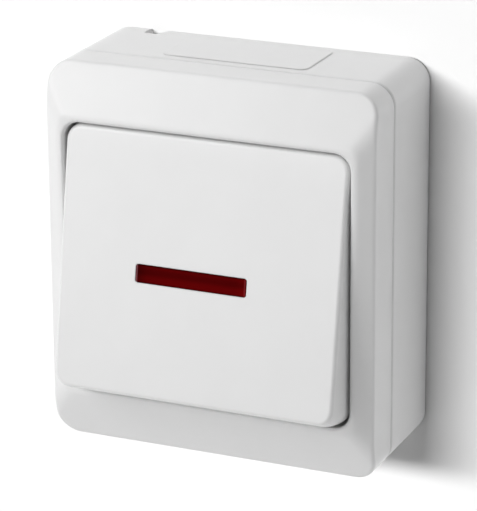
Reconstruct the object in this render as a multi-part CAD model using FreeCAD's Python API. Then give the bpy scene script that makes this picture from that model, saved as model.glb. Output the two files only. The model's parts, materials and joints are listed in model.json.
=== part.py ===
import FreeCAD, Part
import math
import os

Vec = FreeCAD.Vector

# Surface mounted light switch, in millimetres.
# Origin: centre of the back face, which lies on the wall. +X right, +Z up, +Y into the wall.
# A depth is a distance in front of the wall, so the point at depth d has y = -d.

# Housing
width = 74.0
height = 84.0
corner_radius = 5.0
base_depth = 21.0
lip_depth = 33.4
wall = 2.0
back_wall = 2.2
back_edge_chamfer = 0.4
parting_chamfer = 0.5
outer_edge_round = 0.7

# Slopes of the cover around its opening
side_margin = 4.72
band_height = 12.1
band_slope = 22.0
side_slope = 30.0
crease_radius = 6.0
lip_width = 1.2
lip_round = 2.4
lip_inner_chamfer = 0.4
opening_radius = 3.8
collar_wall = 1.6
floor_thickness = 1.8

# Rim joint between base and cover
tongue_wall = 1.0
tongue_height = 1.6
rim_clearance = 0.1
gasket_height = 1.0

# Rocker
rocker_tilt = 9.64
rocker_side_gap = 0.5
rocker_end_gap = 0.4
rocker_below_lip = 1.0
rocker_face_above_pivot = 9.55
rocker_skirt = 10.0
rocker_wall = 1.6
rocker_face_wall = 2.0
rocker_radius = 3.4
rocker_edge_round = 0.9
rocker_floor_clearance = 0.6
rocker_rib_wall = 1.2
rocker_rib_z = 6.5

# Indicator lens
lens_length = 25.1
lens_height = 3.9
lens_x = -1.5
lens_z = -1.6
lens_radius = 0.6
lens_clearance = 0.05
lens_flange = 1.2
lens_flange_thickness = 1.0
lens_stem_width = 4.0
lens_stem_height = 3.0
lens_stem_end = 2.6
lamp_window_margin = 0.7

# Carrier that the rocker clips to
carrier_half_height = 12.0
carrier_plate_low = 3.6
carrier_plate = 2.0
cheek_inset = 5.8
cheek_wall = 2.2
cheek_half_height = 3.4
pin_radius = 1.5
pin_clearance = 0.05
ear_gap = 0.3
ear_wall = 2.6
ear_half_height = 3.6
post_radius = 3.4
post_length = 6.0
post_lip = 1.0
post_bore_radius = 2.3
post_bore_roof = 0.8
clip_x = 8.0
clip_z = 9.6
clip_width = 4.0
clip_thickness = 1.2
clip_hook = 0.55
clip_hook_height = 0.9
clip_clearance = 0.15

# Plunger and its spring
plunger_radius = 1.5
plunger_clearance = 0.08
plunger_head_height = 1.5
plunger_nose = 1.0
plunger_tip_clearance = 0.2
spring_wire = 0.5
spring_turns = 5
spring_facets = 10
wire_sides = 6

# Insulating block
block_half_width = 21.0
block_half_height = 22.0
block_radius = 1.5
block_back = 4.6
seal_thickness = 1.5
seal_width = 2.0
channel_half_width = 6.4
channel_half_height = 14.0
channel_floor_depth = 6.9
pocket_half_width = 3.5
pocket_margin = 0.4
pocket_floor_depth = 6.0
slot_clearance = 0.1
flange_length = 6.9
flange_half_height = 4.0
flange_back = 9.0
flange_thickness = 2.5
support_rib = 2.0
support_rib_z = 12.0

# Contacts
lever_tilt = 7.0
lever_half_width = 3.6
lever_half_length = 13.0
lever_thickness = 0.8
trunnion_radius = 0.6
trunnion_clearance = 0.04
trunnion_reach = 2.1
strip_half_width = 2.4
strip_thickness = 0.8
strip_end_inset = 1.2
strip_inner_end = 3.5
lug_wall = 0.8
lug_gap = 0.2
lug_half_height = 1.7
contact_z = 11.5
contact_radius = 1.6
contact_height = 0.9
contact_gap = 0.1

# Terminals
cage_half_width = 3.2
cage_wall = 0.7
cage_roof = 1.5
cage_height = 7.0
cage_end_inset = 0.6
cage_length = 4.4
terminal_screw_radius = 1.45
terminal_thread_clearance = 0.05
terminal_head_radius = 2.5
terminal_head_height = 2.0
terminal_head_lift = 0.4

# Screws that hold the mechanism and the cover
mechanism_screw_radius = 1.4
mechanism_head_radius = 3.0
mechanism_head_height = 2.0
mechanism_screw_tip_gap = 1.0
cover_screw_inset_x = 5.0
cover_screw_inset_z = 6.2
cover_screw_radius = 1.4
cover_head_radius = 2.4
window_margin = 0.3
cover_head_height = 2.0
screw_clearance = 0.3
thread_clearance = 0.05
cover_screw_length = 10.0
cover_screw_tip_gap = 0.8
boss_wall = 2.0
washer_thickness = 0.8
slot_width = 0.8
slot_depth = 0.9

# Indicator lamp
lamp_radius = 1.6
lamp_clearance = 0.05
lamp_tip_above_pivot = 1.0
lamp_taper = 1.8
lamp_tip_radius = 0.5
holder_half_width = 2.4
holder_half_height = 3.0
holder_height = 3.0
holder_radius = 0.8
holder_socket = 1.0
resistor_offset = 3.4
resistor_radius = 1.1
resistor_length = 6.5
resistor_z = 5.5
resistor_chamfer = 0.35
lead_radius = 0.3
lead_margin = 0.4
lead_end_x = 2.8
lead_drop = 2.0

# Wall fixing and cable entries
wall_hole_inset_x = 10.0
wall_hole_inset_z = 12.0
wall_hole_radius = 2.25
entry_margin = 1.5
entry_groove = 0.7
entry_groove_depth = 0.3
pad_side_inset = 20.5
pad_margin = 2.6
pad_height = 0.15
pad_radius = 2.0
notch_inset = 9.9
notch_width = 4.8
notch_floor_width = 2.8
notch_depth = 3.6
notch_lining = 1.6

# Worked out from the sizes above
half_width = width / 2
half_height = height / 2
opening_half_width = half_width - side_margin
opening_half_height = half_height - band_height
tilt_sin = math.sin(math.radians(rocker_tilt))
tilt_cos = math.cos(math.radians(rocker_tilt))
rocker_half_width = opening_half_width - rocker_side_gap
rocker_end_radius = opening_half_height - rocker_end_gap
rocker_half_height = math.sqrt(rocker_end_radius ** 2 - rocker_face_above_pivot ** 2)
pivot_depth = (lip_depth - rocker_below_lip - rocker_face_above_pivot * tilt_cos
               + rocker_half_height * tilt_sin)
rocker_lowest = (pivot_depth + (rocker_face_above_pivot - rocker_skirt) * tilt_cos
                 - rocker_end_radius * tilt_sin)
floor_front = rocker_lowest - rocker_floor_clearance
floor_back = floor_front - floor_thickness
block_front = floor_back - seal_thickness
face_depth = pivot_depth + rocker_face_above_pivot
face_back = face_depth - rocker_face_wall
plate_back = pivot_depth + carrier_plate_low
plate_front = plate_back + carrier_plate
strip_front = channel_floor_depth + strip_thickness
lever_depth = (strip_front + 2 * contact_height + contact_gap + lever_thickness / 2
               + (contact_z + contact_radius) * math.sin(math.radians(lever_tilt)))
plunger_tip_depth = lever_depth + trunnion_radius + plunger_tip_clearance
cage_front = pocket_floor_depth + cage_height
cage_low = block_half_height - cage_end_inset - cage_length
pocket_low = cage_low - pocket_margin
strip_end = block_half_height - strip_end_inset
lead_z = cage_low + lead_margin
terminal_z = cage_low + cage_length / 2
mechanism_screw_x = block_half_width + flange_length / 2
flange_front = flange_back + flange_thickness
seal_inner_width = block_half_width - seal_width
seal_inner_height = block_half_height - seal_width
cover_screw_x = block_half_width - cover_screw_inset_x
cover_screw_z = block_half_height - cover_screw_inset_z
cover_screw_places = [(-cover_screw_x, cover_screw_z), (cover_screw_x, -cover_screw_z)]
cover_screw_seat = floor_front + washer_thickness
cover_bore_back = cover_screw_seat - cover_screw_length - cover_screw_tip_gap
window_half_height = cover_screw_z - cover_head_radius - window_margin
mechanism_screw_places = [(-mechanism_screw_x, 0), (mechanism_screw_x, 0)]
cheek_outer_x = block_half_width - cheek_inset
ear_inner_x = cheek_outer_x + ear_gap
lamp_x = -(post_radius + cheek_outer_x - cheek_wall) / 2
resistor_x = lamp_x - resistor_offset
wall_hole_x = half_width - wall_hole_inset_x
wall_hole_z = half_height - wall_hole_inset_z
entry_depth = base_depth / 2
entry_radius = entry_depth - entry_margin
pad_half_width = half_width - pad_side_inset
notch_left_x = notch_inset - half_width


def block(x0, x1, z0, z1, back, front):
    """A box between two depths."""
    return Part.makeBox(x1 - x0, front - back, z1 - z0, Vec(x0, -front, z0))


def centred_block(half_x, half_z, back, front, x=0, z=0):
    return block(x - half_x, x + half_x, z - half_z, z + half_z, back, front)


def slab(half_x, half_z, radius, back, front, x=0, z=0):
    """A plate with rounded corners between two depths."""
    plain = centred_block(half_x, half_z, back, front, x, z)
    corners = [e for e in plain.Edges if abs(e.Vertexes[0].Y - e.Vertexes[1].Y) > (front - back) / 2]
    return plain.makeFillet(radius, corners)


def rod(x, z, radius, back, front):
    """A round bar square to the wall."""
    return Part.makeCylinder(radius, front - back, Vec(x, -back, z), Vec(0, -1, 0))


def rod_x(x0, x1, depth, z, radius):
    """A round bar along X."""
    return Part.makeCylinder(radius, x1 - x0, Vec(x0, -depth, z), Vec(1, 0, 0))


def join(pieces):
    whole = pieces[0]
    if len(pieces) > 1:
        whole = whole.fuse(pieces[1:])
    return whole.removeSplitter()


def bent_bar(points, radius):
    """A thin many-sided bar along straight runs, mitred at each bend."""
    runs = [(b - a).normalize() for a, b in zip(points[:-1], points[1:])]
    side = runs[0].cross(Vec(0, 1, 0) if abs(runs[0].y) < 0.9 else Vec(1, 0, 0)).normalize()
    other = runs[0].cross(side)
    angles = [2 * math.pi * i / wire_sides for i in range(wire_sides)]
    ring = [points[0] + side * (radius * math.cos(a)) + other * (radius * math.sin(a)) for a in angles]
    outlines = [ring]
    for i in range(1, len(points)):
        along = runs[i - 1]
        normal = along + runs[i] if i < len(runs) else along
        ring = [p + along * ((points[i] - p).dot(normal) / along.dot(normal)) for p in ring]
        outlines.append(ring)
    return Part.makeLoft([Part.makePolygon(o + o[:1]) for o in outlines], True, True)


def mirrored_x(shape):
    return shape.mirror(Vec(0, 0, 0), Vec(1, 0, 0))


def mirrored_z(shape):
    return shape.mirror(Vec(0, 0, 0), Vec(0, 0, 1))


def edges_at_depth(shape, depth):
    """The edges that lie wholly at one depth."""
    return [e for e in shape.Edges
            if abs(e.BoundBox.YMin + depth) < 1e-4 and abs(e.BoundBox.YMax + depth) < 1e-4]


def tilted(shape):
    """Turn a piece of the rocker from mid travel to rest, with its top pressed in."""
    return shape.rotate(Vec(0, -pivot_depth, 0), Vec(1, 0, 0), -rocker_tilt)


def lever_tilted(shape):
    """Turn a piece of the contact lever from mid travel to rest, with its lower end on the contact."""
    return shape.rotate(Vec(0, -lever_depth, 0), Vec(1, 0, 0), lever_tilt)


def pyramid(front_depth, back_depth):
    """The block of sloping faces that the front of the cover is cut from."""
    rise = front_depth - back_depth
    top_x = opening_half_width + lip_width
    top_z = opening_half_height + lip_width
    foot_x = top_x + rise / math.tan(math.radians(side_slope))
    foot_z = top_z + rise / math.tan(math.radians(band_slope))
    wedge = Part.makeWedge(-foot_x, back_depth, -foot_z, -top_z, -top_x,
                           foot_x, front_depth, foot_z, top_z, top_x)
    return wedge.mirror(Vec(0, 0, 0), Vec(0, 1, 0))


def cover_outside():
    """Outer form of the cover: rounded box under four slopes that meet in soft creases."""
    slopes = pyramid(lip_depth, base_depth)
    creases = [e for e in slopes.Edges if e.BoundBox.YLength > (lip_depth - base_depth) / 2]
    slopes = slopes.makeFillet(crease_radius, creases)
    slopes = slopes.makeFillet(lip_round, edges_at_depth(slopes, lip_depth))
    prism = slab(half_width, half_height, corner_radius, base_depth, lip_depth + 1)
    prism = prism.makeChamfer(parting_chamfer, edges_at_depth(prism, base_depth))
    return prism.common(slopes)


def cover_cavity():
    """Space inside the cover, one wall inside its outer form, around the collar of the opening."""
    drop = wall / math.cos(math.radians(band_slope))
    slopes = pyramid(lip_depth - drop, base_depth - wall)
    prism = slab(half_width - wall, half_height - wall, corner_radius - wall, base_depth - wall, lip_depth)
    collar = slab(opening_half_width + collar_wall, opening_half_height + collar_wall,
                  opening_radius + collar_wall, floor_back, lip_depth + 1)
    return prism.common(slopes).cut(collar)


def front_cover():
    shell = cover_outside()
    rim = [e for e in shell.Edges if e.BoundBox.YMax < -base_depth - 2 * parting_chamfer and on_outer_wall(e)]
    shell = shell.makeFillet(outer_edge_round, rim)
    well = slab(opening_half_width + collar_wall, opening_half_height + collar_wall,
                opening_radius + collar_wall, floor_back, lip_depth - collar_wall)
    shell = join([shell.cut(cover_cavity()), well])
    opening = slab(opening_half_width, opening_half_height, opening_radius, floor_front, lip_depth + 1)
    shell = shell.cut(opening)
    inner_lip = [e for e in edges_at_depth(shell, lip_depth)
                 if e.BoundBox.XMax < opening_half_width + lip_width / 2
                 and e.BoundBox.XMin > -opening_half_width - lip_width / 2
                 and abs(e.CenterOfMass.z) < opening_half_height + lip_width / 2]
    shell = shell.makeChamfer(lip_inner_chamfer, inner_lip)
    reach = tongue_wall + rim_clearance
    rebate = slab(half_width - wall + reach, half_height - wall + reach, corner_radius - wall + reach,
                  base_depth - wall, base_depth + tongue_height + gasket_height)
    rebate = rebate.cut(slab(half_width - wall, half_height - wall, corner_radius - wall,
                             base_depth - 2 * wall, lip_depth))
    window = slab(seal_inner_width, window_half_height, block_radius,
                  floor_back - wall, floor_front + wall)
    holes = [rod(x, z, cover_screw_radius + screw_clearance, floor_back - wall, floor_front + wall)
             for x, z in cover_screw_places]
    return shell.cut([rebate, window] + holes)


def on_outer_wall(edge):
    """Whether both ends and the middle of an edge lie on the rounded outer wall of the housing."""
    middle = edge.valueAt((edge.FirstParameter + edge.LastParameter) / 2)
    return all(wall_distance(p.x, p.z) < 1e-3 for p in [v.Point for v in edge.Vertexes] + [middle])


def wall_distance(x, z):
    """Distance of a point from the rounded rectangle that is the housing's outline."""
    past_x = abs(x) - (half_width - corner_radius)
    past_z = abs(z) - (half_height - corner_radius)
    if past_x > 0 and past_z > 0:
        return abs(math.hypot(past_x, past_z) - corner_radius)
    return min(abs(past_x - corner_radius), abs(past_z - corner_radius))


def base_box():
    outer = slab(half_width, half_height, corner_radius, 0, base_depth)
    outer = outer.makeChamfer(back_edge_chamfer, edges_at_depth(outer, 0))
    outer = outer.makeChamfer(parting_chamfer, edges_at_depth(outer, base_depth))
    inner_radius = corner_radius - wall
    tongue = slab(half_width - wall + tongue_wall, half_height - wall + tongue_wall,
                  inner_radius + tongue_wall, base_depth - wall, base_depth + tongue_height)
    cavity = slab(half_width - wall, half_height - wall, inner_radius,
                  back_wall, base_depth + 2 * tongue_height)
    shell = join([outer, tongue, cable_pad()]).cut(cavity)
    thread_radius = mechanism_screw_radius + thread_clearance
    bosses = [rod(x, z, thread_radius + boss_wall, back_wall / 2, flange_back)
              for x, z in mechanism_screw_places]
    ribs = [centred_block(block_half_width, support_rib / 2, back_wall / 2, block_back, 0, s * support_rib_z)
            for s in (-1, 1)]
    shell = join([shell, notch_pocket()] + bosses + ribs)
    holes = [rod(x, z, thread_radius, back_wall, flange_back + 1) for x, z in mechanism_screw_places]
    holes += [rod(sx * wall_hole_x, sz * wall_hole_z, wall_hole_radius, -1, back_wall + 1)
              for sx in (-1, 1) for sz in (-1, 1)]
    return shell.cut(holes + [entry_ring(), rear_notch()])


def cable_pad():
    """The shallow raised pad on the top wall where the cable entry can be broken out."""
    pad = Part.makeBox(2 * pad_half_width, base_depth - 2 * pad_margin, wall / 2 + pad_height,
                       Vec(-pad_half_width, pad_margin - base_depth, half_height - wall / 2))
    corners = [e for e in pad.Edges if e.BoundBox.ZLength > wall / 4]
    return pad.makeFillet(pad_radius, corners)


def entry_ring():
    """Ring groove in the bottom wall, where a cable entry can be broken out."""
    foot = Vec(0, -entry_depth, -half_height - 1)
    outer = Part.makeCylinder(entry_radius, 1 + entry_groove_depth, foot, Vec(0, 0, 1))
    return outer.cut(Part.makeCylinder(entry_radius - entry_groove, 1 + entry_groove_depth, foot,
                                       Vec(0, 0, 1)))


def notch_pocket():
    """The inner lining that keeps the housing closed below the notch in its rear edge."""
    return block(notch_left_x - notch_lining, notch_left_x + notch_width + notch_lining,
                 half_height - wall - notch_lining, half_height - wall / 2, back_wall / 2,
                 notch_depth + notch_lining)


def rear_notch():
    """The notch in the rear edge of the top wall, with one upright and one sloping side."""
    profile = [Vec(notch_left_x, 1, 0), Vec(notch_left_x, -notch_depth, 0),
               Vec(notch_left_x + notch_floor_width, -notch_depth, 0),
               Vec(notch_left_x + notch_width, 0, 0), Vec(notch_left_x + notch_width, 1, 0)]
    face = Part.Face(Part.makePolygon(profile + profile[:1]))
    face.translate(Vec(0, 0, half_height - wall))
    return face.extrude(Vec(0, 0, wall + 1))


def perimeter_gasket():
    reach = tongue_wall + rim_clearance
    back = base_depth + tongue_height
    outer = slab(half_width - wall + reach, half_height - wall + reach, corner_radius - wall + reach,
                 back, back + gasket_height)
    return outer.cut(slab(half_width - wall, half_height - wall, corner_radius - wall,
                          back - 1, back + gasket_height + 1))


def window_seal():
    outer = slab(block_half_width, block_half_height, block_radius, block_front, floor_back)
    return outer.cut(slab(seal_inner_width, seal_inner_height, block_radius,
                          block_front - 1, floor_back + 1))


def rocker_form(inset, back, front):
    """The rocker's outline, drawn in by an inset. Its end walls are arcs about the pivot."""
    half_x = rocker_half_width - inset
    radius = rocker_end_radius - inset
    return rod_x(-half_x, half_x, pivot_depth, 0, radius).common(
        centred_block(half_x, radius, back, front))


def rocker():
    back = face_depth - rocker_skirt
    shell = rocker_form(0, back, face_depth)
    corners = [e for e in shell.Edges
               if e.BoundBox.XLength < 1e-4 and e.BoundBox.ZLength < rocker_end_radius / 2]
    shell = shell.makeFillet(rocker_radius, corners)
    shell = shell.makeFillet(rocker_edge_round, edges_at_depth(shell, face_depth))
    hollow = rocker_form(rocker_wall, back - 1, face_back)
    slot = slab(lens_length / 2 + lens_clearance, lens_height / 2 + lens_clearance, lens_radius,
                face_back - 1, face_depth + 1, lens_x, lens_z)
    shell = shell.cut([hollow, slot])
    ribs = [centred_block(cheek_outer_x, rocker_rib_wall / 2, plate_front, face_back + 0.5,
                          0, s * rocker_rib_z) for s in (-1, 1)]
    clips = [clip_leg(sx, sz) for sx in (-1, 1) for sz in (-1, 1)]
    return tilted(join([shell] + ribs + clips))


def clip_leg(side, end):
    """One snap leg, with a hook that catches behind the carrier's plate."""
    z = clip_z
    hook_front = plate_back - clip_clearance
    outline = [Vec(0, -face_back - 0.5, z - clip_thickness / 2),
               Vec(0, -face_back - 0.5, z + clip_thickness / 2),
               Vec(0, -hook_front, z + clip_thickness / 2),
               Vec(0, -hook_front, z + clip_thickness / 2 + clip_hook),
               Vec(0, -hook_front + clip_hook_height, z + clip_thickness / 2),
               Vec(0, -hook_front + clip_hook_height, z - clip_thickness / 2)]
    face = Part.Face(Part.makePolygon(outline + outline[:1]))
    face.translate(Vec(side * clip_x - clip_width / 2, 0, 0))
    leg = face.extrude(Vec(clip_width, 0, 0))
    return leg if end > 0 else mirrored_z(leg)


def indicator_lens():
    bar = slab(lens_length / 2, lens_height / 2, lens_radius, face_back, face_depth, lens_x, lens_z)
    flange = slab(lens_length / 2 + lens_flange, lens_height / 2 + lens_flange, lens_radius,
                  face_back - lens_flange_thickness, face_back, lens_x, lens_z)
    stem = centred_block(lens_stem_width / 2, lens_stem_height / 2, pivot_depth + lens_stem_end,
                         face_back - lens_flange_thickness / 2, lamp_x)
    return tilted(join([bar, flange, stem]))


def rocker_carrier():
    plate = slab(cheek_outer_x, carrier_half_height, pin_radius, plate_back, plate_front)
    cheek = block(cheek_outer_x - cheek_wall, cheek_outer_x, -cheek_half_height, cheek_half_height,
                  pivot_depth, plate_back + 0.5)
    foot = rod_x(cheek_outer_x - cheek_wall, cheek_outer_x, pivot_depth, 0, cheek_half_height)
    pin = rod_x(cheek_outer_x - 0.5, ear_inner_x + ear_wall, pivot_depth, 0, pin_radius)
    side = join([cheek, foot, pin])
    post = rod(0, 0, post_radius, pivot_depth - post_length, plate_back + 0.5)
    whole = join([plate, side, mirrored_x(side), post])
    bore = rod(0, 0, post_bore_radius, pivot_depth - post_length + post_lip, plate_back - post_bore_roof)
    mouth = rod(0, 0, plunger_radius + plunger_clearance, pivot_depth - post_length - 1, pivot_depth)
    slots = [centred_block(clip_width / 2 + clip_clearance, clip_thickness / 2 + clip_clearance,
                           plate_back - 1, plate_front + 1, sx * clip_x, sz * clip_z)
             for sx in (-1, 1) for sz in (-1, 1)]
    lamp_window = centred_block(lens_stem_width / 2 + lamp_window_margin,
                                lens_stem_height / 2 + lamp_window_margin,
                                plate_back - 1, plate_front + 1, lamp_x)
    return tilted(whole.cut([bore, mouth, lamp_window] + slots))


def plunger():
    """Blunt-nosed pin whose head rests on the lip at the end of the post."""
    head_back = pivot_depth - post_length + post_lip
    nose = Part.makeCone(plunger_radius - plunger_nose, plunger_radius, plunger_nose,
                         Vec(0, -plunger_tip_depth, 0), Vec(0, -1, 0))
    shank = rod(0, 0, plunger_radius, plunger_tip_depth + plunger_nose, head_back + 0.5)
    head = rod(0, 0, post_bore_radius - plunger_clearance, head_back, head_back + plunger_head_height)
    return tilted(join([nose, shank, head]))


def plunger_spring():
    """Coil spring, as a many-sided bar bent along a helix."""
    back = pivot_depth - post_length + post_lip + plunger_head_height
    front = plate_back - post_bore_roof
    mean_radius = post_bore_radius - plunger_clearance - spring_wire
    rise = front - back - 2 * spring_wire
    steps = spring_turns * spring_facets

    def on_helix(i):
        turn = 2 * math.pi * i / spring_facets
        return Vec(mean_radius * math.cos(turn), -back - spring_wire - rise * i / steps,
                   mean_radius * math.sin(turn))

    return tilted(bent_bar([on_helix(i) for i in range(steps + 1)], spring_wire / 2))


def mechanism_body():
    body = slab(block_half_width, block_half_height, block_radius, block_back, block_front)
    flange = block(block_half_width - 1, block_half_width + flange_length, -flange_half_height,
                   flange_half_height, flange_back, flange_front)
    ear = block(ear_inner_x, ear_inner_x + ear_wall, -ear_half_height, ear_half_height,
                block_front - 1, pivot_depth)
    ear_top = rod_x(ear_inner_x, ear_inner_x + ear_wall, pivot_depth, 0, ear_half_height)
    side = join([flange, ear, ear_top])
    body = join([body, side, mirrored_x(side)])
    channel = centred_block(channel_half_width, channel_half_height, channel_floor_depth, block_front + 1)
    pocket = block(-pocket_half_width, pocket_half_width, pocket_low, block_half_height + 1,
                   pocket_floor_depth, block_front + 1)
    passage = centred_block(strip_half_width + slot_clearance, pocket_low + 1,
                            channel_floor_depth, strip_front + slot_clearance)
    end = join([pocket, passage])
    bores = [rod(x, z, mechanism_screw_radius + screw_clearance, flange_back - 1, flange_front + 1)
             for x, z in mechanism_screw_places]
    bores += [rod(x, z, cover_screw_radius + thread_clearance, cover_bore_back, block_front + 1)
              for x, z in cover_screw_places]
    pin_bore = rod_x(-block_half_width, block_half_width, pivot_depth, 0, pin_radius + pin_clearance)
    return body.cut([channel, end, mirrored_z(end), pin_bore] + bores)


def slotted_screw(x, z, radius, head_radius, head_back, head_height, length):
    """A screw with a slotted cheese head; its point is towards the wall."""
    screw = join([rod(x, z, radius, head_back - length, head_back + head_height / 2),
                  rod(x, z, head_radius, head_back, head_back + head_height)])
    slot = centred_block(head_radius + 1, slot_width / 2, head_back + head_height - slot_depth,
                         head_back + head_height + 1, x, z)
    return screw.cut(slot)


def mechanism_screws():
    length = flange_front - back_wall - mechanism_screw_tip_gap
    return Part.makeCompound([slotted_screw(x, z, mechanism_screw_radius, mechanism_head_radius,
                                            flange_front, mechanism_head_height, length)
                              for x, z in mechanism_screw_places])


def cover_screws():
    return Part.makeCompound([slotted_screw(x, z, cover_screw_radius, cover_head_radius, cover_screw_seat,
                                            cover_head_height, cover_screw_length)
                              for x, z in cover_screw_places])


def cover_screw_seals():
    def washer(x, z):
        disc = rod(x, z, cover_head_radius, floor_front, cover_screw_seat)
        return disc.cut(rod(x, z, cover_screw_radius + thread_clearance, floor_front - 1, floor_front + 2))

    return Part.makeCompound([washer(x, z) for x, z in cover_screw_places])


def contact_lever():
    strip = slab(lever_half_width, lever_half_length, 1.0, lever_depth - lever_thickness / 2,
                 lever_depth + lever_thickness / 2)
    reach = lever_half_width + trunnion_reach
    trunnions = rod_x(-reach, reach, lever_depth, 0, trunnion_radius)
    return lever_tilted(join([strip, trunnions]))


def moving_contact():
    front = lever_depth - lever_thickness / 2
    return lever_tilted(rod(0, -contact_z, contact_radius, front - contact_height, front))


def fixed_contact():
    return rod(0, -contact_z, contact_radius, strip_front, strip_front + contact_height)


def common_strip():
    """Supply strip, with the two notched lugs that the contact lever rocks in."""
    strip = block(-strip_half_width, strip_half_width, -strip_inner_end, strip_end,
                  channel_floor_depth, strip_front)
    lug_inner = lever_half_width + lug_gap
    lug_outer = lug_inner + lug_wall
    cross = centred_block(lug_outer, lug_half_height, channel_floor_depth, strip_front)
    lug = block(lug_inner, lug_outer, -lug_half_height, lug_half_height,
                channel_floor_depth, lever_depth + trunnion_radius)
    notch_radius = trunnion_radius + trunnion_clearance
    notch = join([rod_x(-lug_outer - 1, lug_outer + 1, lever_depth, 0, notch_radius),
                  centred_block(lug_outer + 1, notch_radius, lever_depth, lever_depth + 2 * notch_radius)])
    return join([strip, cross, lug, mirrored_x(lug)]).cut(notch)


def load_strip():
    return block(-strip_half_width, strip_half_width, -strip_end, -contact_z + contact_radius + 1,
                 channel_floor_depth, strip_front)


def terminal_clamps():
    cage = block(-cage_half_width, cage_half_width, cage_low, cage_low + cage_length,
                 pocket_floor_depth, cage_front)
    window = block(-cage_half_width + cage_wall, cage_half_width - cage_wall, cage_low - 1,
                   cage_low + cage_length + 1, pocket_floor_depth + cage_wall, cage_front - cage_roof)
    thread = rod(0, terminal_z, terminal_screw_radius + terminal_thread_clearance, cage_front - cage_roof - 1,
                 cage_front + 1)
    cage = cage.cut([window, thread])
    return Part.makeCompound([cage, mirrored_z(cage)])


def terminal_screws():
    seat = cage_front + terminal_head_lift
    screw = slotted_screw(0, terminal_z, terminal_screw_radius, terminal_head_radius, seat,
                          terminal_head_height, seat - strip_front - contact_gap)
    return Part.makeCompound([screw, mirrored_z(screw)])


def lamp_holder():
    holder = slab(holder_half_width, holder_half_height, holder_radius,
                  block_front, block_front + holder_height, lamp_x)
    return holder.cut(rod(lamp_x, 0, lamp_radius + lamp_clearance, block_front + holder_socket,
                          block_front + holder_height + 1))


def indicator_lamp():
    """Small glass bulb with a tapered tip, seated in its holder."""
    tip = pivot_depth + lamp_tip_above_pivot
    tube = rod(lamp_x, 0, lamp_radius, block_front + holder_socket, tip - lamp_taper)
    taper = Part.makeCone(lamp_radius, lamp_tip_radius, lamp_taper,
                          Vec(lamp_x, -tip + lamp_taper, 0), Vec(0, -1, 0))
    return join([tube, taper])


def lamp_resistor():
    start = Vec(resistor_x, -block_front - resistor_radius, resistor_z)
    body = Part.makeCylinder(resistor_radius, resistor_length, start, Vec(0, 0, 1))
    ends = [e for e in body.Edges if e.BoundBox.ZLength < 1e-4]
    return body.makeChamfer(resistor_chamfer, ends)


def lamp_leads():
    surface = -block_front - lead_radius
    resistor_middle = -block_front - resistor_radius
    top = resistor_z + resistor_length
    terminal_end = -cage_front
    link_z = (holder_half_height + resistor_z) / 2
    link_x = lamp_x - holder_half_width / 3
    link = bent_bar([Vec(link_x, resistor_middle, holder_half_height), Vec(link_x, resistor_middle, link_z),
                     Vec(resistor_x, resistor_middle, link_z), Vec(resistor_x, resistor_middle, resistor_z)],
                    lead_radius)
    upper = bent_bar([Vec(resistor_x, resistor_middle, top),
                      Vec(resistor_x, resistor_middle, lead_z - lead_drop),
                      Vec(resistor_x, surface, lead_z), Vec(-lead_end_x, surface, lead_z),
                      Vec(-lead_end_x, terminal_end, lead_z)], lead_radius)
    lower = bent_bar([Vec(lamp_x, surface, -holder_half_height), Vec(lamp_x, surface, -lead_z),
                      Vec(-lead_end_x, surface, -lead_z), Vec(-lead_end_x, terminal_end, -lead_z)],
                     lead_radius)
    return Part.makeCompound([link, upper, lower])


NODES = {
    "base_box": base_box,
    "front_cover": front_cover,
    "perimeter_gasket": perimeter_gasket,
    "window_seal": window_seal,
    "rocker": rocker,
    "indicator_lens": indicator_lens,
    "rocker_carrier": rocker_carrier,
    "plunger": plunger,
    "plunger_spring": plunger_spring,
    "mechanism_body": mechanism_body,
    "mechanism_screws": mechanism_screws,
    "cover_screws": cover_screws,
    "cover_screw_seals": cover_screw_seals,
    "contact_lever": contact_lever,
    "moving_contact": moving_contact,
    "fixed_contact": fixed_contact,
    "common_strip": common_strip,
    "load_strip": load_strip,
    "terminal_clamps": terminal_clamps,
    "terminal_screws": terminal_screws,
    "lamp_holder": lamp_holder,
    "indicator_lamp": indicator_lamp,
    "lamp_resistor": lamp_resistor,
    "lamp_leads": lamp_leads,
}

os.makedirs("parts", exist_ok=True)
for name, make in NODES.items():
    make().exportStep(os.path.join("parts", name + ".step"))
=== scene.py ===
# Looks of the surface mounted light switch, in metres.
# The wall is the plane y = 0 and the switch faces -Y.
import json
import math

import bmesh
import bpy
from mathutils import Matrix, Vector


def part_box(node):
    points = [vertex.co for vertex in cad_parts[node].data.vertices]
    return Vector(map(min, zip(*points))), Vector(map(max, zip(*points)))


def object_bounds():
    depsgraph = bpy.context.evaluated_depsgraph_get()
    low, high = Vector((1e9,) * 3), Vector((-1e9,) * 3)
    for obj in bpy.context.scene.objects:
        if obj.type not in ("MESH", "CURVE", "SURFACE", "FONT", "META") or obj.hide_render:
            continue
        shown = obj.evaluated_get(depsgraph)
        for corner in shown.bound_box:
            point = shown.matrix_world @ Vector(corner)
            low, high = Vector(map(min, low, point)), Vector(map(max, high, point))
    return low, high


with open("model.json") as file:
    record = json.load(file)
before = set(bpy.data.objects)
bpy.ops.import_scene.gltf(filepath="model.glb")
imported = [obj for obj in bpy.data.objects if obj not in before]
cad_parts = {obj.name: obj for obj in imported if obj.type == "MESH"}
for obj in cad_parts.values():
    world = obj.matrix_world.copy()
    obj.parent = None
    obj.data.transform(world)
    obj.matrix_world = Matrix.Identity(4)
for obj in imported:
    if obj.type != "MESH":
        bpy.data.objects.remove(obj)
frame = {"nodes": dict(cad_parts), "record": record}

CAD_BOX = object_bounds()
NODES = frame["nodes"]
MM = 0.001

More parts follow.
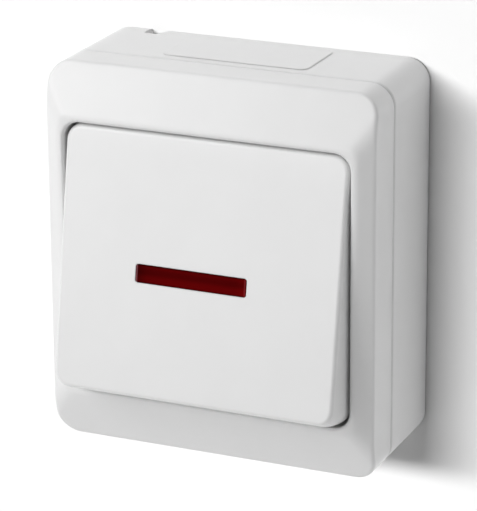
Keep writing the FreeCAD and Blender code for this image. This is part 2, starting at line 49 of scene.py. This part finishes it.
# Camera: place, turn to the left, pitch down and roll in degrees, and the focal length in
# millimetres for a 36 mm wide sensor
CAMERA_PLACE = (0.2412, -0.5652, 0.2091)
CAMERA_TURN = 23.72
CAMERA_PITCH = 19.29
CAMERA_ROLL = -0.41
CAMERA_LENS = 210.29
SENSOR_WIDTH = 36.0
CAMERA_SHIFT = (0.0009, -0.003)
CAMERA_CLIP_START = 0.01

# White mouldings. Each gloss, with its spread, stays on one side of 0.27: a surface that crosses
# it is denoised in patches.
WHITE = (0.81, 0.81, 0.81)
COVER_ROUGHNESS = 0.32
ROCKER_ROUGHNESS = 0.24
PLASTIC_IOR = 1.5
# Radius to which the shading softens the moulded edges
COVER_EDGE_SOFTNESS = 0.0009
ROCKER_EDGE_SOFTNESS = 0.0004

# Noise of plastic, in cells to the metre: flow mottle, uneven gloss and eroded grain
FLOW_SCALE = 90.0
GLOSS_SCALE = 240.0
GRAIN_SCALE = 5200.0
GLOSS_SPREAD = 0.12
GRAIN_HEIGHT = 0.00001
MATT_GRAIN_HEIGHT = 0.00003

# Noise of metal: tarnish, drawn streaks in the gloss and grain
TARNISH_SCALE = 600.0
STREAK_SCALE = 1800.0
METAL_GRAIN_SCALE = 4000.0
STREAK_SPREAD = 0.3

# Indicator lens, in millimetres and degrees: its face's height, its middle and its hidden flange
ROCKER_TILT = 9.64
LENS_HEIGHT = 3.9
LENS_FACE_CENTRE = 0.02
LENS_FLANGE = 1.2
LENS_RED = (0.098, 0.0006, 0.0010)
LENS_IOR = 1.49
LENS_REFLECTION = (1.0, 0.04, 0.05, 1.0)
# Painted light and shade on the lens, as (place, share of its red), from its lower edge to its
# upper edge: painted dark edges, a painted lit lower half and a darker middle
LENS_PAINTED_SHADING = [(0.0, 0.35), (0.05, 0.85), (0.14, 1.2), (0.32, 1.15),
              (0.55, 0.72), (0.72, 0.74), (0.88, 0.98), (1.0, 0.35)]
# Painted light and shade on the lens again, from its left end to its right end: painted shade near
# the left end and a painted bright strip at the right end
LENS_PAINTED_END_SHADING = [(0.0, 0.6), (0.018, 0.45), (0.05, 0.6), (0.10, 0.85),
             (0.30, 1.0), (0.90, 1.0), (0.975, 1.25), (1.0, 0.7)]
# Painted glints: light caught at the two ends, painted into the colour as (place, colour), from
# left to right
BLACK = (0.0, 0.0, 0.0)
LENS_GLINTS = [(0.003, BLACK), (0.007, (0.20, 0.09, 0.10)),
               (0.013, (0.18, 0.08, 0.09)), (0.017, BLACK),
               (0.977, BLACK), (0.981, (0.09, 0.014, 0.016)),
               (0.990, (0.11, 0.018, 0.020)), (0.996, BLACK)]

# Stage: the wall lies just behind the switch and is open under its back. A small face fills the
# notch in the switch's rear edge.
WALL_GAP = 0.0002
WALL_REACH = 1.2
FLOOR_DROP = 0.30
FOOTPRINT_INSET = 0.0006
FOOTPRINT_RADIUS = 0.0050
NOTCH_LEFT = -0.0271
NOTCH_WIDTH = 0.0048
NOTCH_DROP = 0.0020
PAD_HEIGHT = 0.00015
WALL_COLOUR = 0.6
FLOOR_COLOUR = 0.7
STAGE_ROUGHNESS = 0.9

# Lights on the switch: name, direction towards the lamp, distance, width and height, and power
LAMPS = [
    ("key", (-1.0, -1.0, 0.8), 0.6, (0.4, 0.4), 2.1),
    ("front", (-0.35, -1.0, 0.15), 3.0, (1.5, 1.5), 17.0),
    ("side", (0.35, -1.0, 0.8), 0.6, (0.4, 0.4), 0.3),
    ("rear", (0.8, 1.0, 0.7), 3.0, (2.0, 2.0), 40.0),
]
# The lamp that lights only the wall and the floor, and throws the short soft shadow on them
STAGE_LAMP = ("stage_light", (-0.31, -1.0, 0.31), 3.0, (1.9, 0.40), 140.0)
WORLD_STRENGTH = 0.06


class Shader:
    """A material and short calls that add nodes to it."""

    def __init__(self, name):
        self.material = bpy.data.materials.new(name)
        self.material.use_nodes = True
        self.tree = self.material.node_tree
        self.shader = self.tree.nodes["Principled BSDF"]

    def add(self, kind, **values):
        """A new node, with its input sockets or its own settings set to the values."""
        node = self.tree.nodes.new(kind)
        for name, value in values.items():
            if name in node.inputs:
                node.inputs[name].default_value = value
            else:
                setattr(node, name, value)
        return node

    def link(self, source, target):
        self.tree.links.new(source, target)

    def feed(self, source, name):
        """Link a source to an input of the main shader."""
        self.link(source, self.shader.inputs[name])

    def set(self, **values):
        for name, value in values.items():
            self.shader.inputs[name.replace("_", " ")].default_value = value

    def place(self):
        """Coordinates of the object's own space, in metres."""
        return self.add("ShaderNodeTexCoord").outputs["Object"]

    def noise(self, scale, detail=2.0, roughness=0.5):
        texture = self.add("ShaderNodeTexNoise", Scale=scale, Detail=detail, Roughness=roughness)
        self.link(self.place(), texture.inputs["Vector"])
        return texture.outputs["Fac"]

    def ramp(self, factor, low, high, start=0.0, end=1.0):
        """Colour that runs from low to high while the factor runs from start to end."""
        return self.bands(factor, [(start, low), (end, high)])

    def bands(self, factor, stops):
        """Colour that runs through the colours of the stops, each (place, colour)."""
        ramp = self.add("ShaderNodeValToRGB")
        elements = ramp.color_ramp.elements
        while len(elements) < len(stops):
            elements.new(1.0)
        for element, (place, colour) in zip(elements, stops):
            element.position = place
            element.color = (*colour, 1.0)
        self.link(factor, ramp.inputs["Fac"])
        return ramp.outputs["Color"]

    def along(self, axis, start, end):
        """A number that runs from 0 to 1 between two places on an axis of the object."""
        parts = self.add("ShaderNodeSeparateXYZ")
        self.link(self.place(), parts.inputs["Vector"])
        node = self.add("ShaderNodeMapRange")
        node.inputs["From Min"].default_value = start
        node.inputs["From Max"].default_value = end
        self.link(parts.outputs[axis], node.inputs["Value"])
        return node.outputs["Result"]

    def mix(self, how, first, second):
        """Two colours multiplied, added or otherwise combined in full."""
        node = self.add("ShaderNodeMix", data_type="RGBA", blend_type=how)
        node.inputs["Factor"].default_value = 1.0
        colours = [socket for socket in node.inputs if socket.type == "RGBA"]
        self.link(first, colours[0])
        self.link(second, colours[1])
        return [socket for socket in node.outputs if socket.type == "RGBA"][0]

    def spread(self, factor, low, high):
        """A number that runs from low to high with the factor."""
        node = self.add("ShaderNodeMapRange")
        node.inputs["To Min"].default_value = low
        node.inputs["To Max"].default_value = high
        self.link(factor, node.inputs["Value"])
        return node.outputs["Result"]

    def bump(self, height, distance, strength=1.0, edge=None):
        """Raise the surface by a height, over edges rounded by a radius where one is given."""
        node = self.add("ShaderNodeBump", Strength=strength, Distance=distance)
        self.link(height, node.inputs["Height"])
        if edge:
            rounded = self.add("ShaderNodeBevel", Radius=edge)
            self.link(rounded.outputs["Normal"], node.inputs["Normal"])
        self.feed(node.outputs["Normal"], "Normal")


def shade(colour, amount):
    return tuple(min(1.0, c * amount) for c in colour)


def moulded_plastic(name, colour, roughness, grain=GRAIN_HEIGHT, tone=0.985, edge=None):
    """Satin gloss moulded plastic: faint flow mottle, uneven gloss and a fine eroded grain."""
    s = Shader(name)
    flow = s.noise(FLOW_SCALE, 3.0)
    s.feed(s.ramp(flow, shade(colour, tone), colour, 0.35, 0.65), "Base Color")
    low, high = roughness * (1 - GLOSS_SPREAD), roughness * (1 + GLOSS_SPREAD)
    s.feed(s.spread(s.noise(GLOSS_SCALE, 2.0), low, high), "Roughness")
    s.bump(s.noise(GRAIN_SCALE, 3.0), grain, 0.5, edge)
    s.set(IOR=PLASTIC_IOR)
    return s.material


def matt_plastic(name, colour, roughness=0.55):
    return moulded_plastic(name, colour, roughness, MATT_GRAIN_HEIGHT, 0.94)


def metal(name, colour, roughness, tone=0.9):
    """Metal with drawn streaks in its gloss and slight tarnish."""
    s = Shader(name)
    s.set(Metallic=1.0)
    tarnish = s.noise(TARNISH_SCALE, 4.0)
    s.feed(s.ramp(tarnish, shade(colour, tone), colour, 0.35, 0.7), "Base Color")
    low, high = roughness * (1 - STREAK_SPREAD), roughness * (1 + STREAK_SPREAD)
    s.feed(s.spread(s.noise(STREAK_SCALE, 3.0), low, high), "Roughness")
    s.bump(s.noise(METAL_GRAIN_SCALE, 2.0), GRAIN_HEIGHT, 0.4)
    return s.material


def red_lens():
    """Deep red clear plastic with light and shade painted into its colour: a dark middle, a lit
    lower half, dark edges, and pale ends with glints, all painted.
    """
    s = Shader("red_lens")
    low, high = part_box("indicator_lens")
    slant = math.cos(math.radians(ROCKER_TILT))
    middle = LENS_FACE_CENTRE * MM
    half = LENS_HEIGHT * MM / 2 * slant
    height = s.along("Z", middle - half, middle + half)
    # Painted light and shade from the lens's lower edge to its upper edge
    painted_shading = s.bands(height, [(place, shade(LENS_RED, amount)) for place, amount in LENS_PAINTED_SHADING])
    length = s.along("X", low.x + LENS_FLANGE * MM, high.x - LENS_FLANGE * MM)
    # Painted light and shade along the lens, from its left end to its right end
    ends = s.bands(length, [(place, (amount, amount, amount)) for place, amount in LENS_PAINTED_END_SHADING])
    glints = s.bands(length, LENS_GLINTS)
    # The painted shading, the painted end shading and the painted glints all go into the base
    # colour
    s.feed(s.mix("ADD", s.mix("MULTIPLY", painted_shading, ends), glints), "Base Color")
    s.feed(s.spread(s.noise(700.0, 2.0), 0.10, 0.16), "Roughness")
    s.set(IOR=LENS_IOR, Specular_IOR_Level=0.03, Specular_Tint=LENS_REFLECTION)
    return s.material


def clear_glass():
    """Faintly warm glass of the small lamp."""
    s = Shader("lamp_glass")
    s.feed(s.ramp(s.noise(300.0, 2.0), (0.93, 0.88, 0.84), (1.0, 0.95, 0.92)), "Base Color")
    s.feed(s.spread(s.noise(900.0, 2.0), 0.02, 0.06), "Roughness")
    s.set(IOR=1.5, Transmission_Weight=0.9)
    return s.material


def make_materials():
    """One material for each material slot of the record."""
    cover_edge, rocker_edge = COVER_EDGE_SOFTNESS, ROCKER_EDGE_SOFTNESS
    return {
        "white_cover": moulded_plastic("white_cover", WHITE, COVER_ROUGHNESS, edge=cover_edge),
        "white_rocker": moulded_plastic("white_rocker", WHITE, ROCKER_ROUGHNESS, edge=rocker_edge),
        "red_lens": red_lens(),
        "white_inner": matt_plastic("white_inner", (0.72, 0.71, 0.68)),
        "insulator": matt_plastic("insulator", (0.035, 0.035, 0.038)),
        "seal_rubber": matt_plastic("seal_rubber", (0.018, 0.018, 0.019), 0.7),
        "plated_steel": metal("plated_steel", (0.62, 0.63, 0.64), 0.28),
        "copper_alloy": metal("copper_alloy", (0.66, 0.45, 0.20), 0.32, 0.8),
        "contact_silver": metal("contact_silver", (0.86, 0.85, 0.83), 0.15),
        "lamp_glass": clear_glass(),
        "resistor_coat": matt_plastic("resistor_coat", (0.42, 0.27, 0.13), 0.45),
        "lead_sleeve": matt_plastic("lead_sleeve", (0.62, 0.61, 0.57), 0.4),
    }


def dress_nodes(materials):
    """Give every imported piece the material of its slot."""
    for row in frame["record"]["subparts"]:
        node = NODES[row["node"]]
        node.data.materials.clear()
        node.data.materials.append(materials[row["material_slot"]])


def outline(half_x, half_z, radius, steps=10):
    """Points of a rounded rectangle round the origin, as (x, z), anticlockwise from the right."""
    corners = [(1, 1), (-1, 1), (-1, -1), (1, -1)]
    points = []
    for i, (sx, sz) in enumerate(corners):
        for k in range(steps + 1):
            a = math.pi / 2 * (i + k / steps)
            points.append((sx * (half_x - radius) + radius * math.cos(a),
                           sz * (half_z - radius) + radius * math.sin(a)))
    return points


def stage_surface(name, mesh_data, material):
    """A wall or floor from mesh data, as an object of its own."""
    mesh = bpy.data.meshes.new(name)
    mesh_data.to_mesh(mesh)
    mesh_data.free()
    thing = bpy.data.objects.new(name, mesh)
    bpy.context.scene.collection.objects.link(thing)
    thing.data.materials.append(material)


def backdrop_material(name, white):
    """Matt white of the stage, clear from behind so that the switch is seen from all sides."""
    s = Shader(name)
    s.set(Base_Color=(white, white, white, 1.0), Roughness=STAGE_ROUGHNESS,
          Specular_IOR_Level=0.0)
    clear = s.add("ShaderNodeBsdfTransparent")
    mix = s.add("ShaderNodeMixShader")
    s.link(s.add("ShaderNodeNewGeometry").outputs["Backfacing"], mix.inputs["Fac"])
    s.link(s.shader.outputs["BSDF"], mix.inputs[1])
    s.link(clear.outputs["BSDF"], mix.inputs[2])
    s.link(mix.outputs["Shader"], s.tree.nodes["Material Output"].inputs["Surface"])
    return s.material


def make_wall():
    """Backdrop behind the switch, open under its back so that the back is seen from behind."""
    low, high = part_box("base_box")
    inner = outline(high.x - FOOTPRINT_INSET, -low.z - FOOTPRINT_INSET, FOOTPRINT_RADIUS)
    data = bmesh.new()
    ring = [data.verts.new((x, WALL_GAP, z)) for x, z in inner]
    far = []
    for x, z in inner:
        scale = WALL_REACH / max(abs(x), abs(z))
        far.append(data.verts.new((x * scale, WALL_GAP, z * scale)))
    count = len(ring)
    for i in range(count):
        j = (i + 1) % count
        data.faces.new((ring[i], ring[j], far[j], far[i]))
    notch_right = NOTCH_LEFT + NOTCH_WIDTH
    notch_top = high.z - PAD_HEIGHT
    notch_foot = notch_top - NOTCH_DROP
    data.faces.new([data.verts.new((x, WALL_GAP, z)) for x, z in (
        (NOTCH_LEFT, notch_foot), (notch_right, notch_foot),
        (notch_right, notch_top), (NOTCH_LEFT, notch_top))])
    bmesh.ops.recalc_face_normals(data, faces=data.faces)
    for face in data.faces:
        if face.normal.y > 0:
            face.normal_flip()
    stage_surface("wall", data, backdrop_material("wall_white", WALL_COLOUR))


def make_floor():
    """Floor in front of the wall, well below the switch."""
    data = bmesh.new()
    z = CAD_BOX[0].z - FLOOR_DROP
    corners = [(-WALL_REACH, WALL_GAP), (WALL_REACH, WALL_GAP),
               (WALL_REACH, -WALL_REACH), (-WALL_REACH, -WALL_REACH)]
    data.faces.new([data.verts.new((x, y, z)) for x, y in reversed(corners)])
    stage_surface("floor", data, backdrop_material("floor_white", FLOOR_COLOUR))


def make_world():
    """Soft fill from all round, white wherever it is seen or mirrored."""
    world = bpy.data.worlds.new("studio")
    bpy.context.scene.world = world
    world.use_nodes = True
    nodes, links = world.node_tree.nodes, world.node_tree.links
    path = nodes.new("ShaderNodeLightPath")
    seen = path.outputs["Is Camera Ray"]
    for ray in ("Is Glossy Ray", "Is Transmission Ray"):
        either = nodes.new("ShaderNodeMath")
        either.operation = "MAXIMUM"
        links.new(seen, either.inputs[0])
        links.new(path.outputs[ray], either.inputs[1])
        seen = either.outputs["Value"]
    strength = nodes.new("ShaderNodeMapRange")
    strength.inputs["To Min"].default_value = WORLD_STRENGTH
    links.new(seen, strength.inputs["Value"])
    links.new(strength.outputs["Result"], nodes["Background"].inputs["Strength"])
    nodes["Background"].inputs["Color"].default_value = (1.0, 1.0, 1.0, 1.0)


def stage_link(name, state):
    """The stage's surfaces as a light linking group that a lamp lights alone or leaves out."""
    group = bpy.data.collections.new(name)
    for surface in ("wall", "floor"):
        group.objects.link(bpy.data.objects[surface])
    for member in group.collection_objects:
        member.light_linking.link_state = state
    return group


def make_lamp(name, towards, distance, size, power, receivers):
    """A rectangular lamp that faces the switch and lights what the group of receivers says."""
    lamp = bpy.data.lights.new(name, "AREA")
    lamp.shape = "RECTANGLE"
    lamp.size, lamp.size_y = size
    lamp.energy = power
    thing = bpy.data.objects.new(name, lamp)
    bpy.context.scene.collection.objects.link(thing)
    thing.light_linking.receiver_collection = receivers
    direction = Vector(towards).normalized()
    thing.matrix_world = (Matrix.Translation(direction * distance)
                          @ direction.to_track_quat("Z", "Y").to_matrix().to_4x4())


def make_camera():
    data = bpy.data.cameras.new("camera")
    data.sensor_width = SENSOR_WIDTH
    data.lens = CAMERA_LENS
    data.shift_x, data.shift_y = CAMERA_SHIFT
    data.clip_start = CAMERA_CLIP_START
    camera = bpy.data.objects.new("camera", data)
    bpy.context.scene.collection.objects.link(camera)
    turn = (Matrix.Rotation(math.radians(CAMERA_TURN), 4, "Z")
            @ Matrix.Rotation(math.radians(90 - CAMERA_PITCH), 4, "X")
            @ Matrix.Rotation(math.radians(CAMERA_ROLL), 4, "Z"))
    camera.matrix_world = Matrix.Translation(CAMERA_PLACE) @ turn
    bpy.context.scene.camera = camera


dress_nodes(make_materials())
make_wall()
make_floor()
make_world()
switch_only = stage_link("switch_only", "EXCLUDE")
for lamp in LAMPS:
    make_lamp(*lamp, switch_only)
make_lamp(*STAGE_LAMP, stage_link("stage_only", "INCLUDE"))
make_camera()
bpy.context.scene.view_settings.view_transform = "Standard"
